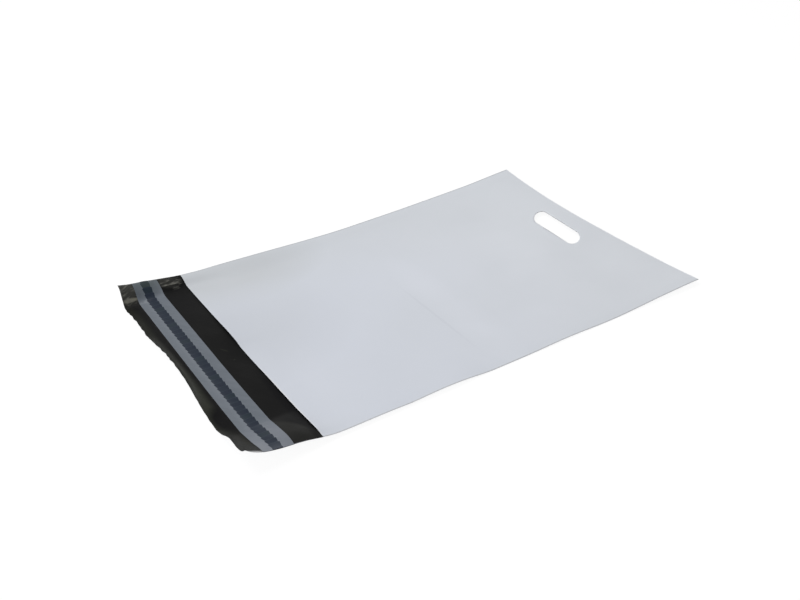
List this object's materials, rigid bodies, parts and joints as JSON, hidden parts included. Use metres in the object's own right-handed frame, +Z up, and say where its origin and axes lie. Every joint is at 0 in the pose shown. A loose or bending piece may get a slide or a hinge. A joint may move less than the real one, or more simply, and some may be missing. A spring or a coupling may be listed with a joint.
{
  "type": "poly mailer bag",
  "caption": "Flat, empty plastic mailing bag with a carry slot near its folded end and a self-seal lip: hot-melt strip under a release liner.",
  "frame": {"origin": "bottom centre of the bounding box, on the surface that the bag lies on", "axes": "+X along the bag, from the lip to the carry slot; +Y across the bag; +Z up, out of the front wall"},
  "size_m": [0.5556, 0.35, 0.024],
  "materials": {
    "film_outside": "pale grey-white polyethylene film, satin, black on its inner face",
    "hot_melt_glue": "clear hot-melt bead on black film, seen dark blue-grey through the liner",
    "liner_film": "translucent grey release film, satin"
  },
  "bodies": {
    "root": {"film_bag": "film_outside", "adhesive_strip": "hot_melt_glue", "release_liner": "liner_film"}
  },
  "joints": []
}
